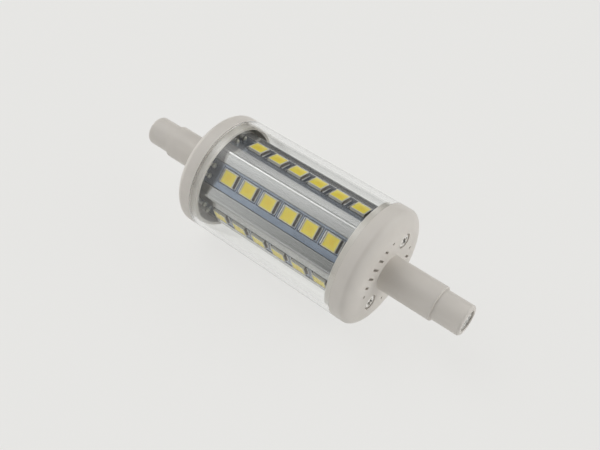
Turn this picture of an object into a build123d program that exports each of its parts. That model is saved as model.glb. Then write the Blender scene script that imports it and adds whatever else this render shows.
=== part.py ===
"""Double-ended LED lamp with recessed end contacts.

A hexagonal heat sink carries six LED boards and holds the driver in its bore. A clear tube covers it
between two moulded end caps, which are screwed to the sink's ends.

The lamp's axis is X and the origin is its centre. Pieces are drawn with the first board facing straight
up (+Z), and the finished lamp is turned about its axis by first_board_turn, the way it lies. Lengths are
in millimetres and angles in degrees.
"""
import os
from math import cos, pi, radians, sin, sqrt

from build123d import *

# Whole lamp
overall_length = 78.0
first_board_turn = 42.0

# Clear tube, which slips over the caps' collars
tube_diameter = 24.5
tube_wall = 0.85
tube_fit = 0.05
tube_end_gap = 0.05

# End caps: collar, skirt, shoulder, face, neck and tip in one moulding
collar_length = 1.4
collar_wall = 0.8
collar_bore_sides = 24
skirt_length = 4.25
shoulder_length = 2.05
shoulder_inset = 3.7
shoulder_steps = 3
face_thickness = 2.0
neck_length = 11.35
neck_diameter = 7.1
tip_length = 5.9
tip_diameter = 6.2
tip_rim = 0.95
tip_bevel = 0.45

# Vents in each cap's face: two groups of upright slits, each from a chord out to a circle
vents_per_group = 7
vent_width = 0.5
vent_pitch = 1.85
vent_chord = 5.1
vent_edge_room = 1.05

# Contacts, riveted into the tips
contact_recess = 0.5
contact_head_thickness = 0.8
contact_head_gap = 0.1
contact_shank_diameter = 2.0
contact_shank_length = 4.0
contact_shank_fit = 0.05
contact_sides = 16

# Screws, through bosses in the caps into ports in the sink
screw_circle_share = 0.636
screw_shank_diameter = 1.8
screw_shank_length = 8.0
screw_head_diameter = 2.8
screw_head_height = 0.9
screw_sides = 12
screw_recess_depth = 1.0
screw_recess_gap = 0.2
screw_hole_gap = 0.1
screw_port_fit = 0.05
boss_wall = 0.55
boss_length = 2.1

# Heat sink extrusion
sink_clearance = 0.25
corner_rib_diameter = 0.9
corner_rib_rise = 0.4
corner_rib_sides = 12
sink_wall = 1.3
port_wall = 0.95

# LED boards, one in a groove in each flat
board_count = 6
board_width = 4.9
board_thickness = 1.0
board_recess = 0.15
board_side_gap = 0.12
board_end_inset = 0.1

# LEDs: a housing with a tapered cup, and the phosphor in it
led_length = 3.15
led_width = 2.8
led_height = 0.55
led_gap = 1.83
led_row_margin = 0.5
led_row_shift = 0.31
led_side_shift = 0.45
led_rim = 0.22
led_cup_depth = 0.35
led_cup_draft = 0.2
phosphor_dip = 0.04

# Wiring at the sink's left end
bead_length = 0.9
bead_width = 1.1
bead_height = 0.8
bead_draft = 0.25
bead_spacing = 2.2
bead_end_inset = 0.6
wire_diameter = 0.7
wire_sides = 6
wire_gap = 0.02
wire_turn_room = 0.75
link_corner_inset = 0.9
feed_edge_inset = 1.8
feed_spacing = 1.6
lead_diameter = 1.0
lead_drop_room = 1.2

# Insulating sleeve and driver in the sink's bore
sleeve_gap = 0.15
sleeve_wall = 0.4
driver_end_gap = 4.65
driver_edge_gap = 0.05
driver_thickness = 1.0
driver_pad_length = 1.4
part_headroom = 0.7
part_edge_room = 0.4
surface_part_height = 1.3
surface_part_gap = 0.2
surface_part_chamfer = 0.25
capacitor_length = 10.0
capacitor_sides = 16
core_leg = 1.2
core_window = 1.0
core_window_length = 4.0
core_yoke = 0.9
inductor_share = 0.8
core_share = 0.55
winding_gap = 0.05
fuse_length = 5.0
fuse_width = 3.8
fuse_headroom = 0.8
rectifier_length = 4.6
rectifier_width = 3.9
chip_length = 4.9
chip_width = 3.9
part_end_room = 3.0

# Stations along the axis, from the centre out to the right
end_x = overall_length / 2
step_x = end_x - tip_length
face_x = step_x - neck_length
skirt_x = face_x - skirt_length
collar_x = skirt_x - collar_length
inner_face_x = face_x - face_thickness
sink_x = inner_face_x - boss_length
board_x = sink_x - board_end_inset
driver_x = sink_x - driver_end_gap
contact_seat_x = end_x - contact_recess - contact_head_thickness
contact_tail_x = contact_seat_x - contact_shank_length
screw_seat_x = face_x - screw_recess_depth
wire_turn_x = sink_x + wire_turn_room

# Radii of the caps and the tube
cap_radius = tube_diameter / 2
tube_bore_radius = cap_radius - tube_wall
collar_radius = tube_bore_radius - tube_fit
cap_bore_radius = collar_radius - collar_wall
neck_radius = neck_diameter / 2
vent_reach = cap_radius - shoulder_inset - vent_edge_room
tip_radius = tip_diameter / 2
contact_recess_radius = tip_radius - tip_rim
contact_shank_radius = contact_shank_diameter / 2
screw_radius = screw_shank_diameter / 2
screw_head_radius = screw_head_diameter / 2

# Section of the sink, measured from the axis
side_turn = 360 / board_count
sink_reach = cap_bore_radius - sink_clearance
flat_height = (sink_reach - corner_rib_rise) * cos(pi / board_count)
rib_radius = corner_rib_diameter / 2
board_top = flat_height - board_recess
groove_floor = board_top - board_thickness
bore_height = groove_floor - sink_wall
screw_circle = screw_circle_share * sink_reach
port_radius = screw_radius + screw_port_fit
port_reach = screw_circle - port_radius - port_wall

# Rows of LEDs: as many as the window between the collars takes
led_pitch = led_length + led_gap
leds_per_board = int((2 * collar_x - led_row_margin) // led_pitch)

# Room in the sleeve: the driver board stands on edge, with its tall parts on the +Y side
sleeve_height = bore_height - sleeve_gap
sleeve_half_width = port_reach - sleeve_gap
sleeve_room = sleeve_half_width - sleeve_wall
driver_half_width = sleeve_height - sleeve_wall - driver_edge_gap
driver_back = surface_part_gap + surface_part_height - sleeve_room
driver_front = driver_back + driver_thickness
part_height = sleeve_room - driver_front - part_headroom
capacitor_radius = part_height / 2
fuse_height = part_height - fuse_headroom
inductor_height = inductor_share * part_height
core_depth = core_share * inductor_height
wire_radius = wire_diameter / 2
lead_radius = lead_diameter / 2
wire_height = board_top + wire_radius + wire_gap

lay = Rot(X=first_board_turn)


def about_axis(angle, piece):
    """The piece turned about the lamp's axis."""
    return Rot(X=angle) * piece


def bar(section, start_x, stop_x, y=0.0, z=0.0):
    """A section in Y and Z run along X, from start_x to stop_x."""
    return extrude(Pos(start_x, y, z) * (Plane.YZ * section), amount=stop_x - start_x)


def sided(radius, sides):
    """A many-sided section that a round rod of this radius just goes through."""
    return RegularPolygon(radius, sides, major_radius=False)


def prism(section, half_length):
    """A section in Y and Z run along X, the same way from the centre."""
    return extrude(Plane.YZ * section, amount=half_length, both=True)


def shoulder_points():
    """The cap's shoulder as short straight steps along a quarter of an ellipse."""
    angles = [pi / 2 * k / shoulder_steps for k in range(shoulder_steps + 1)]
    start_x = face_x - shoulder_length
    start_radius = cap_radius - shoulder_inset
    return [(start_x + shoulder_length * sin(a), start_radius + shoulder_inset * cos(a)) for a in angles]


def cap_section():
    """Half section of the right cap: x along the axis, y the radius."""
    outline = Polyline(
        (collar_x, 0),
        (collar_x, collar_radius),
        (skirt_x, collar_radius),
        (skirt_x, cap_radius),
        *shoulder_points(),
        (face_x, neck_radius),
        (step_x, neck_radius),
        (step_x, tip_radius),
        (end_x - tip_bevel, tip_radius),
        (end_x, tip_radius - tip_bevel),
        (end_x, contact_recess_radius),
        (contact_seat_x, contact_recess_radius),
        (contact_seat_x, 0),
        close=True,
    )
    return make_face(outline)


def vents():
    """What the vents above the neck take out of the right cap's face."""
    slits = []
    for k in range(vents_per_group):
        y = (k - (vents_per_group - 1) / 2) * vent_pitch
        outer = sqrt(vent_reach**2 - y**2)
        inner = min(vent_chord, outer - vent_width)
        slits.append(bar(Rectangle(vent_width, outer - inner), inner_face_x, face_x, y, (outer + inner) / 2))
    return slits


def screw_seat(side):
    """What a screw takes out of the right cap: a well for its head, and a hole for its shank."""
    y = side * screw_circle
    well = sided(screw_head_radius + screw_recess_gap, screw_sides)
    hole = sided(screw_radius + screw_hole_gap, screw_sides)
    return bar(well, screw_seat_x, face_x, y) + bar(hole, sink_x, screw_seat_x, y)


def end_cap():
    """The right cap. The left one is the same moulding turned end for end."""
    boss_side = 2 * (screw_radius + screw_hole_gap + boss_wall)
    cap = revolve(cap_section(), axis=Axis.X)
    cap -= bar(sided(cap_bore_radius, collar_bore_sides), collar_x, inner_face_x)
    for side in (-1, 1):
        cap += bar(Rectangle(boss_side, boss_side), sink_x, inner_face_x, side * screw_circle)
        cap -= screw_seat(side)
    bore = sided(contact_shank_radius + contact_shank_fit, contact_sides)
    cap -= bar(bore, inner_face_x, contact_seat_x)
    return cap - [about_axis(turn, slit) for turn in (0, 180) for slit in vents()]


def contact():
    """The right contact: a head in the tip's recess and a shank that the lead is soldered to."""
    head = RegularPolygon(contact_recess_radius - contact_head_gap, contact_sides)
    shank = RegularPolygon(contact_shank_radius, contact_sides)
    head_top_x = contact_seat_x + contact_head_thickness
    return bar(head, contact_seat_x, head_top_x) + bar(shank, contact_tail_x, contact_seat_x)


def screw(side):
    """One of the right cap's two screws."""
    y = side * screw_circle
    head = RegularPolygon(screw_head_radius, screw_sides)
    shank = RegularPolygon(screw_radius, screw_sides)
    body = bar(head, screw_seat_x, screw_seat_x + screw_head_height, y)
    return body + bar(shank, screw_seat_x - screw_shank_length, screw_seat_x, y)


def clear_tube():
    """The tube between the two skirts."""
    return prism(Circle(cap_radius) - Circle(tube_bore_radius), skirt_x - tube_end_gap)


def flat_sided(height):
    """A regular section with a flat for each board, height from the axis to a flat."""
    return RegularPolygon(height, board_count, major_radius=False)


def heat_sink():
    """The extrusion: a rib at each corner, a groove in each flat, and a bore with two screw ports."""
    rib = Rot(Z=side_turn / 2) * Pos(0, sink_reach - rib_radius) * RegularPolygon(rib_radius, corner_rib_sides)
    body = flat_sided(flat_height) + [Rot(Z=k * side_turn) * rib for k in range(board_count)]
    groove_width = board_width + 2 * board_side_gap
    groove = Pos(0, groove_floor) * Rectangle(groove_width, flat_height, align=(Align.CENTER, Align.MIN))
    body -= [Rot(Z=k * side_turn) * groove for k in range(board_count)]
    ports = [Pos(side * screw_circle, 0) for side in (-1, 1)]
    body -= flat_sided(bore_height) - [port * sided(port_radius + port_wall, screw_sides) for port in ports]
    body -= [port * sided(port_radius, screw_sides) for port in ports]
    return prism(body, sink_x)


def led_board():
    """The first board, in the top groove."""
    return Pos(0, 0, board_top - board_thickness / 2) * Box(2 * board_x, board_width, board_thickness)


def led_places():
    """Where the feet of the first board's LEDs stand."""
    first = led_row_shift - led_pitch * (leds_per_board - 1) / 2
    return [Pos(first + k * led_pitch, led_side_shift, board_top) for k in range(leds_per_board)]


def tapered_block(length, width, height, draft):
    """A block about the origin that narrows by draft on each side towards its top."""
    block = Wedge(length, height, width, draft, draft, length - draft, width - draft)
    return Rot(X=90) * block


def led_cup(fill):
    """The tapered hollow of an LED, from its floor up to fill."""
    draft = led_cup_draft * fill / led_cup_depth
    floor_length = led_length - 2 * (led_rim + led_cup_draft)
    floor_width = led_width - 2 * (led_rim + led_cup_draft)
    cup = tapered_block(floor_length + 2 * draft, floor_width + 2 * draft, fill, draft)
    return Pos(0, 0, led_height - led_cup_depth + fill / 2) * Rot(X=180) * cup


def led_housing():
    """The white housing of an LED, standing on z = 0."""
    block = Box(led_length, led_width, led_height, align=(Align.CENTER, Align.CENTER, Align.MIN))
    return block - led_cup(led_cup_depth)


def solder_bead(side):
    """A bead near the first board's left end, where a wire is soldered."""
    x = bead_end_inset + bead_length / 2 - board_x
    place = Pos(x, side * bead_spacing / 2, board_top + bead_height / 2)
    return place * tapered_block(bead_length, bead_width, bead_height, bead_draft)


def wire(points, radius):
    """A wire along straight runs, mitred where it turns."""
    path = Polyline(*points)
    start = Plane(path @ 0, z_dir=path % 0)
    return sweep(start * RegularPolygon(radius, wire_sides), path=path, transition=Transition.RIGHT)


def beside_axis(angle, across, height):
    """Y and Z of a point at across and height on the board that stands at angle from the first."""
    turn = radians(angle)
    return (across * cos(turn) - height * sin(turn), across * sin(turn) + height * cos(turn))


def link_wire(board):
    """The wire from one board's second bead round the sink's corner to the next board's first bead."""
    bead_end = bead_end_inset - board_x
    start = beside_axis(board * side_turn, -bead_spacing / 2, wire_height)
    corner = beside_axis((board + 0.5) * side_turn, 0, sink_reach - link_corner_inset)
    stop = beside_axis((board + 1) * side_turn, bead_spacing / 2, wire_height)
    points = [
        (bead_end, *start),
        (-wire_turn_x, *start),
        (-wire_turn_x, *corner),
        (-wire_turn_x, *stop),
        (bead_end, *stop),
    ]
    return wire(points, wire_radius)


def feed_wire(lane, angle, side):
    """A wire from the driver's left end to a free bead on the board at angle."""
    pad = (driver_front + wire_radius + wire_gap, driver_half_width - feed_edge_inset - lane * feed_spacing)
    bead = beside_axis(angle, side * bead_spacing / 2, wire_height)
    points = [
        (driver_pad_length - driver_x, *pad),
        (-wire_turn_x, *pad),
        (-wire_turn_x, *bead),
        (bead_end_inset - board_x, *bead),
    ]
    return wire(points, wire_radius)


def lead_wire():
    """The right lead, from the contact's shank through the neck to the driver's end."""
    seat = driver_front + lead_radius + wire_gap
    points = [
        (contact_tail_x, 0, 0),
        (sink_x - lead_drop_room, 0, 0),
        (driver_x + lead_drop_room, seat, 0),
        (driver_x - driver_pad_length, seat, 0),
    ]
    return wire(points, lead_radius)


def sleeve_section(inset):
    """The sleeve's outline, drawn in by inset from its outside."""
    band = Rectangle(2 * (sleeve_half_width - inset), 2 * (sleeve_height - inset))
    return flat_sided(sleeve_height - inset) & band


def insulating_sleeve():
    """The thin liner between the sink's bore and the driver."""
    return prism(sleeve_section(0) - sleeve_section(sleeve_wall), sink_x)


def driver_board():
    """The driver's board, on edge in the sleeve."""
    board = Box(2 * driver_x, driver_thickness, 2 * driver_half_width)
    return Pos(0, (driver_front + driver_back) / 2, 0) * board


def smoothing_capacitor():
    """A can that lies along the driver board's upper half."""
    start = part_end_room - driver_x
    z = driver_half_width - part_edge_room - capacitor_radius
    can = RegularPolygon(capacitor_radius, capacitor_sides)
    return bar(can, start, start + capacitor_length, driver_front + capacitor_radius, z)


def inductor_place():
    """The middle of the inductor, which stands on the driver board's lower half, near its left end."""
    half_length = core_window_length / 2 + core_yoke
    half_width = core_leg + core_window
    y = driver_front + inductor_height / 2
    return Pos(part_end_room + half_length - driver_x, y, part_edge_room + half_width - driver_half_width)


def inductor_core():
    """A core of two yokes and three legs: the middle leg as wide as the outer two together."""
    outside = Rectangle(core_window_length + 2 * core_yoke, 2 * (core_leg + core_window))
    across = (core_leg + core_window) / 2
    windows = [Pos(0, side * across) * Rectangle(core_window_length, core_window) for side in (-1, 1)]
    return inductor_place() * extrude(Plane.XZ * (outside - windows), amount=core_depth / 2, both=True)


def inductor_winding():
    """The winding round the core's middle leg."""
    width = core_leg + 2 * (core_window - winding_gap)
    hole = Rectangle(core_depth + 2 * winding_gap, core_leg + 2 * winding_gap)
    ring = Rectangle(inductor_height, width) - hole
    return inductor_place() * prism(ring, core_window_length / 2 - winding_gap)


def fuse():
    """A block fuse that stands on the driver board's lower half, near its right end."""
    z = part_edge_room + fuse_width / 2 - driver_half_width
    place = Pos(driver_x - part_end_room - fuse_length / 2, driver_front + fuse_height / 2, z)
    return place * Box(fuse_length, fuse_height, fuse_width)


def surface_part(length, width, x):
    """A flat part on the back of the driver board."""
    place = Pos(x, driver_back, 0) * Rot(X=90)
    body = Box(length, width, surface_part_height, align=(Align.CENTER, Align.CENTER, Align.MIN))
    return place * chamfer(body.faces().sort_by(Axis.Z)[-1].edges(), surface_part_chamfer)


def turned_end_for_end(piece):
    """The piece at the lamp's other end."""
    return Rot(Z=180) * piece


def save(node, *pieces):
    """Write one node: a solid, or a group of like solids."""
    solids = [solid for piece in pieces for solid in (lay * piece).solids()]
    export_step(solids[0] if len(solids) == 1 else Compound(solids), f"parts/{node}.step")


def save_ends():
    """Caps, contacts, screws and leads, the same at both ends."""
    cap, rivet, lead = end_cap(), contact(), lead_wire()
    screws = [screw(-1), screw(1)]
    save("end_cap_right", cap)
    save("end_cap_left", turned_end_for_end(cap))
    save("contact_right", rivet)
    save("contact_left", turned_end_for_end(rivet))
    save("cap_screws_right", *screws)
    save("cap_screws_left", *[turned_end_for_end(piece) for piece in screws])
    save("lead_wire_right", lead)
    # the left lead falls to the same face of the driver board, so it is a mirror image
    save("lead_wire_left", mirror(lead, Plane.YZ))


def save_boards():
    """The six boards, each with its row of LEDs."""
    housing = led_housing()
    phosphor = led_cup(led_cup_depth - phosphor_dip)
    for k in range(board_count):
        turn = Rot(X=k * side_turn)
        places = [turn * place for place in led_places()]
        save(f"led_board_{k + 1}", turn * led_board())
        save(f"led_housings_{k + 1}", *[place * housing for place in places])
        save(f"led_phosphors_{k + 1}", *[place * phosphor for place in places])


def save_wiring():
    """Beads and wires that join the boards in a row and feed its two ends."""
    beads = [solder_bead(1), solder_bead(-1)]
    save("solder_beads", *[about_axis(k * side_turn, bead) for k in range(board_count) for bead in beads])
    save("link_wires", *[link_wire(k) for k in range(board_count - 1)])
    save("feed_wires", feed_wire(0, 0, 1), feed_wire(1, -side_turn, -1))


def save_driver():
    """The sleeve, and the driver with its parts."""
    save("insulating_sleeve", insulating_sleeve())
    save("driver_board", driver_board())
    save("smoothing_capacitor", smoothing_capacitor())
    save("inductor_core", inductor_core())
    save("inductor_winding", inductor_winding())
    save("fuse", fuse())
    save("rectifier", surface_part(rectifier_length, rectifier_width, driver_x / 2))
    save("driver_chip", surface_part(chip_length, chip_width, -driver_x / 2))


def main():
    os.makedirs("parts", exist_ok=True)
    save_ends()
    save("clear_tube", clear_tube())
    save("heat_sink", heat_sink())
    save_boards()
    save_wiring()
    save_driver()


if __name__ == "__main__":
    main()
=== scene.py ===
"""Visible pieces of a double-ended LED lamp, built on its solid frame.

The lamp's axis is X. Pieces are drawn with the first board facing straight up, and each finished mesh is
turned about the axis to the way the lamp lies. Lengths are in metres, as in the frame.
"""
from math import atan2, cos, hypot, pi, radians, sin, tan

import bmesh
import bpy
from bpy.props import FloatProperty, FloatVectorProperty, IntProperty, PointerProperty
from mathutils import Matrix, Vector


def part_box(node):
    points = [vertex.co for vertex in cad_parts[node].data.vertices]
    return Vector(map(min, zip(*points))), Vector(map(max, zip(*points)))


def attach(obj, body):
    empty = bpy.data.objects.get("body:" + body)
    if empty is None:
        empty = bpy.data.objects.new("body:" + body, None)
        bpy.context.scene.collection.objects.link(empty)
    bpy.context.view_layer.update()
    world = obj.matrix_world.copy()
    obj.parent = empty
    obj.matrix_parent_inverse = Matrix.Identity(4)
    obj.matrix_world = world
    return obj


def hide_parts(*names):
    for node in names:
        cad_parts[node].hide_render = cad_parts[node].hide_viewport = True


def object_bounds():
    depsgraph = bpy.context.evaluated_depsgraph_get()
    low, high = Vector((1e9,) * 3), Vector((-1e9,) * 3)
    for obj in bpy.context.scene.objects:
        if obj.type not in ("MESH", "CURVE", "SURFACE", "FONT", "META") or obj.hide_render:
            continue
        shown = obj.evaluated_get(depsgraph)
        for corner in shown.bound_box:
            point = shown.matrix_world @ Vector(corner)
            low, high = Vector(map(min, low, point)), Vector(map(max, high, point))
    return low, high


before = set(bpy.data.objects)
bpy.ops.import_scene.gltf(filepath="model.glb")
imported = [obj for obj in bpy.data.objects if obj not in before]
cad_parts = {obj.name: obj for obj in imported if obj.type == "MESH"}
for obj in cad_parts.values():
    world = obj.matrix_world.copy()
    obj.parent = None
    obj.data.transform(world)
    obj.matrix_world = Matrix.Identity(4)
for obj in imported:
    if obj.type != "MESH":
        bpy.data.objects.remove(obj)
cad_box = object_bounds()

bl_info = {
    "name": "Double-ended LED lamp",
    "version": (1, 0, 0),
    "blender": (4, 5, 0),
    "location": "3D View > Sidebar > Lamp",
    "description": "Builds the visible pieces of a tubular LED lamp on its solid frame",
    "category": "Add Mesh",
}

MM = 0.001
BOARDS = range(1, 7)
FIRST_TURN = radians(42)
LAY = Matrix.Rotation(FIRST_TURN, 4, "X")
# How a piece made for the right end is turned to lie at each end.
ENDS = {"right": LAY, "left": LAY @ Matrix.Rotation(pi, 4, "Z")}
# Differences from the solids, for the looks: corner ribs drawn lower, and a tube that closes the caps' seams.
RIB_DROP = 0.68 * MM
SEAM_OVERLAP = 0.047 * MM
# A lead's route from its contact to the driver, along and across the axis in millimetres.
LEAD_ROUTE = ((33.7, 0), (16.45, 0), (14.2, -1.08), (11.6, -1.08))
# Where the two feeds leave the driver, across and above the axis in millimetres.
FEED_PADS = ((-1.23, 3.72), (-1.23, 2.12))
# Soft white lights round the lamp: elevation and azimuths in degrees, how sharply they fade, and strength.
STUDIO_LIGHTS = {
    "low right": (8, (-36, 0, 36), 14, 1.2),
    "low left": (8, (180, 216), 14, 1.7),
    "high left": (58, (180,), 14, 2.5),
    "behind": (32, (36, 72), 14, 1.1),
    "behind, narrow": (36, (96,), 40, 0.7),
    "behind, glint": (32, (119,), 90, 1.0),
    "left": (36, (236,), 18, 0.6),
}


def far_x(node):
    """Where a node ends to the right."""
    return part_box(node)[1].x


def widest(node):
    """The largest distance of a node from the lamp's axis."""
    return max(hypot(v.co.y, v.co.z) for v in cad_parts[node].data.vertices)


def height_of(node):
    """How far a node reaches from the axis towards the first board's side."""
    c, s = cos(FIRST_TURN), sin(FIRST_TURN)
    return max(v.co.z * c - v.co.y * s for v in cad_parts[node].data.vertices)


BOARD_TOP = height_of("led_board_1")


def length(name, text, default):
    """A length in metres that a user may change."""
    return FloatProperty(name=name, description=text, default=default, unit="LENGTH", precision=6)


def turn(name, text, default):
    """An angle, given here in degrees."""
    return FloatProperty(name=name, description=text, default=radians(default), subtype="ANGLE")


def colour(name, text, default):
    """A colour in linear light."""
    return FloatVectorProperty(name=name, description=text, default=default, subtype="COLOR", min=0, max=1)


def count(name, text, default):
    """A whole number of pieces."""
    return IntProperty(name=name, description=text, default=default, min=1)


class LampCapSettings(bpy.types.PropertyGroup):
    """Sizes and colours of the end caps, their contacts and their screws."""
    collar_radius: length("Collar radius", "Outside of the collar that the tube slips over", 11.35 * MM)
    collar_bore: length("Collar bore", "Inside radius of the collar", 10.55 * MM)
    skirt_x: length("Skirt", "Where the skirt starts, from the lamp's middle", 17.5 * MM)
    shoulder_length: length("Shoulder length", "How far the rounded shoulder goes along the axis", 2.05 * MM)
    shoulder_inset: length("Shoulder inset", "How far the shoulder comes in from the skirt", 3.7 * MM)
    face_x: length("Face", "Where the flat face is, from the lamp's middle", 21.75 * MM)
    face_thickness: length("Face thickness", "Wall behind the flat face", 2.0 * MM)
    neck_radius: length("Neck radius", "Radius of the neck", 3.55 * MM)
    step_x: length("Step", "Where the neck steps down to the tip", 33.1 * MM)
    tip_radius: length("Tip radius", "Radius of the tip", 3.1 * MM)
    recess_radius: length("Recess radius", "Radius of the recess in the tip", 2.15 * MM)
    contact_depth: length("Contact depth", "How far the contact's head lies below the tip's end", 0.5 * MM)
    contact_head: length("Contact head", "Thickness of the contact's head", 0.8 * MM)
    shank_radius: length("Shank radius", "Radius of the contact's shank", 1.0 * MM)
    vents: count("Vents", "Slits in each of the two groups", 7)
    vent_width: length("Vent width", "Width of one slit", 0.5 * MM)
    vent_pitch: length("Vent pitch", "Distance from one slit to the next", 1.85 * MM)
    vent_chord: length("Vent chord", "How near the axis the slits start", 5.1 * MM)
    vent_reach: length("Vent reach", "Radius of the circle at which the slits end", 7.5 * MM)
    screw_circle: length("Screw circle", "Distance of the screws from the axis", 6.55 * MM)
    well_radius: length("Well radius", "Radius of the well for a screw's head", 1.6 * MM)
    well_depth: length("Well depth", "Depth of the well", 1.0 * MM)
    boss_wall: length("Boss wall", "How far a boss reaches beyond a screw's thread", 0.65 * MM)
    hole_clearance: length("Hole clearance", "Room round a screw in its hole", 0.1 * MM)
    screw_head_radius: length("Screw head radius", "Radius of a screw's head", 1.5 * MM)
    screw_head_height: length("Screw head height", "Height of a screw's head", 0.9 * MM)
    screw_radius: length("Screw radius", "Outside radius of a screw's thread", 0.9 * MM)
    screw_length: length("Screw length", "Length of a screw below its head", 8.0 * MM)
    thread_pitch: length("Thread pitch", "Distance between two turns of a screw's thread", 0.7 * MM)
    thread_depth: length("Thread depth", "How far the thread stands out from a screw's core", 0.18 * MM)
    cross_length: length("Cross length", "Length of the cross in a screw's head", 2.0 * MM)
    cross_width: length("Cross width", "Width of the cross's arms", 0.6 * MM)
    cross_depth: length("Cross depth", "Depth of the cross", 0.8 * MM)
    plastic: colour("Plastic", "Off-white of the moulded caps", (0.774, 0.733, 0.674))


class LampTubeSettings(bpy.types.PropertyGroup):
    """Sizes and colour of the clear tube."""
    radius: length("Radius", "Outside of the tube", widest("clear_tube"))
    wall: length("Wall", "Thickness of the tube", 0.85 * MM)
    end_x: length("End", "Where the tube ends, from the lamp's middle", far_x("clear_tube") + SEAM_OVERLAP)
    tint: colour("Tint", "Colour of the light that the tube lets through", (0.985, 0.99, 0.985))


class LampSinkSettings(bpy.types.PropertyGroup):
    """Sizes and colour of the heat sink."""
    end_x: length("End", "Where the extrusion ends, from the lamp's middle", far_x("heat_sink"))
    reach: length("Reach", "Distance of the ribs' tops from the axis", widest("heat_sink") - RIB_DROP)
    rib_radius: length("Rib radius", "Radius of the rib along each corner", 0.5 * MM)
    rib_fillet: length("Rib fillet", "Radius of the hollow between a rib and a land", 0.25 * MM)
    land_fall: length("Land fall", "How far a land falls from its groove to the corner", 0.27 * MM)
    flat: length("Flat", "Height of a flat above the axis", BOARD_TOP + 0.15 * MM)
    groove_width: length("Groove width", "Width of the groove for a board", 5.14 * MM)
    groove_floor: length("Groove floor", "Height of a groove's floor above the axis", BOARD_TOP - 1.0 * MM)
    bore: length("Bore", "Height of the bore's flats above the axis", BOARD_TOP - 2.3 * MM)
    port_radius: length("Port radius", "Radius of a screw port", 0.95 * MM)
    port_wall: length("Port wall", "Wall round a screw port", 0.95 * MM)
    metal: colour("Metal", "Colour of the plain aluminium", (0.46, 0.465, 0.455))


class LampBoardSettings(bpy.types.PropertyGroup):
    """Sizes and colours of the LED boards and the LEDs."""
    end_x: length("End", "Where a board ends, from the lamp's middle", far_x("led_board_1"))
    top: length("Top", "Height of a board's top above the axis", BOARD_TOP)
    width: length("Width", "Width of a board", 4.9 * MM)
    thickness: length("Thickness", "Thickness of a board", 1.0 * MM)
    leds: count("LEDs", "LEDs on one board", 6)
    pitch: length("Pitch", "Distance from one LED to the next", 4.98 * MM)
    shift_x: length("Row shift", "How far the row sits to the right of the board's middle", 0.31 * MM)
    shift_y: length("Side shift", "How far the row sits to the side of the board's middle", 0.45 * MM)
    led_length: length("LED length", "Length of an LED along the row", 3.15 * MM)
    led_width: length("LED width", "Width of an LED across the row", 2.8 * MM)
    led_height: length("LED height", "Height of an LED", height_of("led_housings_1") - BOARD_TOP)
    led_rim: length("LED rim", "Width of the white rim round the phosphor", 0.22 * MM)
    cup_depth: length("Cup depth", "Depth of the cup that holds the phosphor", 0.35 * MM)
    cup_draft: length("Cup draft", "How far the cup's floor comes in from its rim", 0.2 * MM)
    cup_corner: length("Cup corner", "Rounding of the cup's corners", 0.3 * MM)
    pad_reach: length("Pad reach", "How far a solder pad shows beyond an LED's end", 0.61 * MM)
    line_width: length("Line width", "Width of the printed outline round an LED", 0.15 * MM)
    lacquer: colour("Lacquer", "Dark slate lacquer of the boards", (0.262, 0.31, 0.385))
    phosphor_middle: colour("Phosphor, middle", "Over the chip", (0.99, 0.733, 0.04))
    phosphor_edge: colour("Phosphor, edge", "Towards the rim", (0.99, 0.827, 0.08))
    phosphor_rim: colour("Phosphor, rim", "Thin resin at the rim", (0.91, 0.775, 0.195))


class LampWiringSettings(bpy.types.PropertyGroup):
    """Sizes of the wires and solder beads at the boards' left ends."""
    bead_x: length("Bead", "Where the beads lie, from the lamp's middle", -16.5 * MM)
    bead_spacing: length("Bead spacing", "Distance between a board's two beads", 2.2 * MM)
    bead_length: length("Bead length", "Length of a bead along the board", 0.9 * MM)
    bead_width: length("Bead width", "Width of a bead across the board", 1.1 * MM)
    bead_height: length("Bead height", "Height of a bead", 0.8 * MM)
    wire_radius: length("Wire radius", "Radius of the wires between the boards", 0.35 * MM)
    lead_radius: length("Lead radius", "Radius of the wires to the contacts", 0.5 * MM)
    turn_x: length("Turn", "Where the wires turn beyond the sink's end", -18.4 * MM)
    bead_edge_x: length("Bead edge", "Where the wires meet the beads", -16.95 * MM)
    clearance: length("Clearance", "Room between a wire and a board", 0.02 * MM)
    corner_drop: length("Corner drop", "How far inside the solid ribs' tops a link bends", 0.9 * MM)
    driver_x: length("Driver end", "Where the feeds leave the driver", -11.6 * MM)


class LampStageSettings(bpy.types.PropertyGroup):
    """The table and the camera."""
    floor_size: length("Floor size", "Side of the pale table top", 1.6)
    floor: colour("Floor", "Colour of the table top", (0.92, 0.92, 0.915))
    glow: colour("Floor white", "White that the table top shows", (0.825, 0.82, 0.80))
    shadow: FloatProperty(
        name="Shadow", description="Share of the table's look that light and shadow make",
        default=0.15, min=0, max=1, subtype="FACTOR")
    eye: FloatVectorProperty(
        name="Camera place", description="Where the camera stands",
        default=(63.964 * MM, -76.933 * MM, 114.846 * MM), subtype="TRANSLATION", unit="LENGTH")
    azimuth: turn("Camera azimuth", "Turn of the camera round the lamp", 39.386)
    elevation: turn("Camera elevation", "Height of the camera above the horizon", 49.627)
    lens: FloatProperty(
        name="Lens", description="Focal length in millimetres on a 36 mm sensor", default=46.48)


def opaque(shade):
    """A colour as a socket takes it, or a link as it is."""
    return shade if isinstance(shade, bpy.types.NodeSocket) else (*shade, 1.0)


def dimmed(shade, share):
    """A colour made darker or lighter by a share."""
    return tuple(min(1.0, value * share) for value in shade)


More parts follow.
